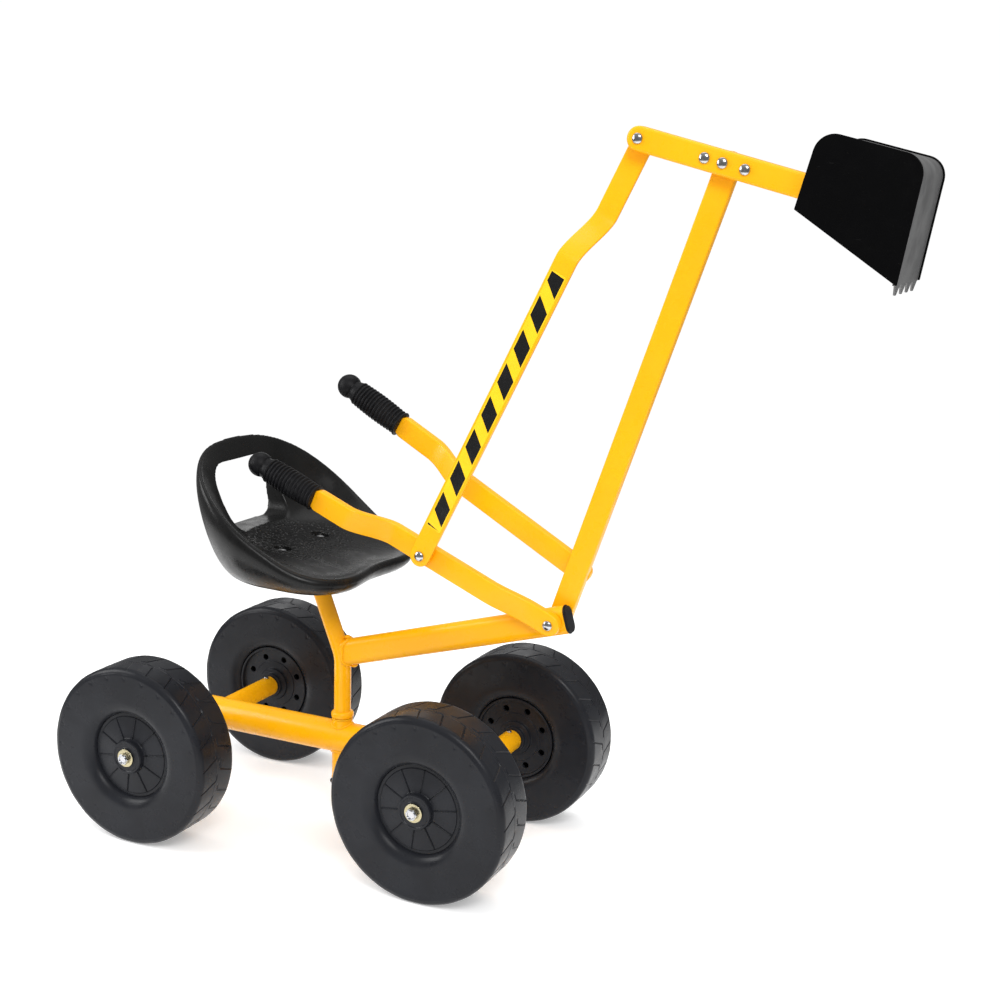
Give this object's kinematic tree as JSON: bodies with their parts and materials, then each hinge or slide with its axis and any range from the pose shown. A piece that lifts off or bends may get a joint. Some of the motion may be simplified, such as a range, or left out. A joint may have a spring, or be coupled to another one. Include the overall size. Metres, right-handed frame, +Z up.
{
  "type": "toy excavator",
  "caption": "Child's ride-on sand digger: wheeled tube base, swivelling bucket seat and a two-lever digging arm with a toothed steel bucket.",
  "frame": {"origin": "on the ground, under the middle of the whole digger", "axes": "+X forwards to the bucket, +Y to the rider's left, +Z up"},
  "size_m": [1.0088, 0.407, 0.8961],
  "materials": {
    "yellow_paint": "gloss",
    "wheel_plastic": "satin",
    "seat_plastic": "satin",
    "cap_plastic": "satin",
    "grip_rubber": "satin",
    "bush_nylon": "satin",
    "stripe_film_yellow": "gloss",
    "bucket_black": "gloss",
    "bucket_grey": "satin",
    "zinc": "bright zinc plate"
  },
  "bodies": {
    "base": {"chassis_frame": "yellow_paint", "front_axle": "zinc", "rear_axle": "zinc", "axle_screw_front_right": "zinc", "axle_screw_front_left": "zinc", "axle_screw_rear_right": "zinc", "axle_screw_rear_left": "zinc", "swivel_bush_top": "bush_nylon", "swivel_bush_bottom": "bush_nylon", "axle_washer_front_right": "zinc", "axle_washer_front_left": "zinc", "axle_washer_rear_right": "zinc", "axle_washer_rear_left": "zinc", "axle_nut_front_right": "zinc", "axle_nut_front_left": "zinc", "axle_nut_rear_right": "zinc", "axle_nut_rear_left": "zinc"},
    "seat_frame": {"upper_frame": "yellow_paint", "swivel_washer": "zinc", "swivel_bolt": "zinc", "boom_end_cap": "cap_plastic", "seat": "seat_plastic", "seat_bolt_right": "zinc", "seat_bolt_left": "zinc", "boom_pivot_bolt": "zinc", "boom_pivot_nut": "zinc"},
    "arm": {"main_arm": "yellow_paint", "left_lever": "yellow_paint", "left_grip": "grip_rubber"},
    "bucket_lever": {"right_lever": "yellow_paint", "right_grip": "grip_rubber", "lever_pivot_bolt": "zinc", "lever_pivot_nut": "zinc"},
    "link": {"link_bar": "yellow_paint", "stripe_film": "stripe_film_yellow", "tail_pivot_nut": "zinc"},
    "dipper": {"dipper_bar": "yellow_paint", "bucket_side_right": "bucket_black", "bucket_side_left": "bucket_black", "bucket_wrap": "bucket_grey", "tail_pivot_bolt": "zinc", "arm_pivot_bolt": "zinc", "arm_pivot_nut": "zinc", "stop_bolt_rear": "zinc", "stop_bolt_front": "zinc"},
    "wheel_front_right": {"wheel_front_right": "wheel_plastic", "hub_outer_front_right": "wheel_plastic", "hub_inner_front_right": "wheel_plastic"},
    "wheel_front_left": {"wheel_front_left": "wheel_plastic", "hub_outer_front_left": "wheel_plastic", "hub_inner_front_left": "wheel_plastic"},
    "wheel_rear_right": {"wheel_rear_right": "wheel_plastic", "hub_outer_rear_right": "wheel_plastic", "hub_inner_rear_right": "wheel_plastic"},
    "wheel_rear_left": {"wheel_rear_left": "wheel_plastic", "hub_outer_rear_left": "wheel_plastic", "hub_inner_rear_left": "wheel_plastic"}
  },
  "joints": [
    {"name": "spin_front_right", "type": "hinge", "parent": "base", "child": "wheel_front_right", "pos_m": [0.0056, -0.135, 0.115], "axis": [0, 1, 0], "continuous": true},
    {"name": "spin_front_left", "type": "hinge", "parent": "base", "child": "wheel_front_left", "pos_m": [0.0056, 0.135, 0.115], "axis": [0, 1, 0], "continuous": true},
    {"name": "spin_rear_right", "type": "hinge", "parent": "base", "child": "wheel_rear_right", "pos_m": [-0.3894, -0.16, 0.115], "axis": [0, 1, 0], "continuous": true},
    {"name": "spin_rear_left", "type": "hinge", "parent": "base", "child": "wheel_rear_left", "pos_m": [-0.3894, 0.16, 0.115], "axis": [0, 1, 0], "continuous": true},
    {"name": "swivel", "type": "hinge", "parent": "base", "child": "seat_frame", "pos_m": [-0.1929, 0, 0.15], "axis": [0, 0, 1], "continuous": true},
    {"name": "arm_lift", "type": "hinge", "parent": "seat_frame", "child": "arm", "pos_m": [0.1026, 0, 0.317], "axis": [0, 1, 0], "range_deg": [-3, 78]},
    {"name": "bucket_lever", "type": "hinge", "parent": "arm", "child": "bucket_lever", "pos_m": [0.1026, 0, 0.317], "axis": [0, 1, 0], "range_deg": [-6, 28]},
    {"name": "link_swing", "type": "hinge", "parent": "bucket_lever", "child": "link", "pos_m": [-0.05953, 0, 0.38549], "axis": [0, 1, 0], "range_deg": [-29.5, 7]},
    {"name": "bucket_curl", "type": "hinge", "parent": "arm", "child": "dipper", "pos_m": [0.28252, 0, 0.85786], "axis": [0, 1, 0], "range_deg": [-11, 48]}
  ],
  "couplings": [
    {"joint": "link_swing", "follows": "bucket_lever", "ratio": -1.021},
    {"joint": "bucket_curl", "follows": "bucket_lever", "ratio": 1.6876}
  ]
}
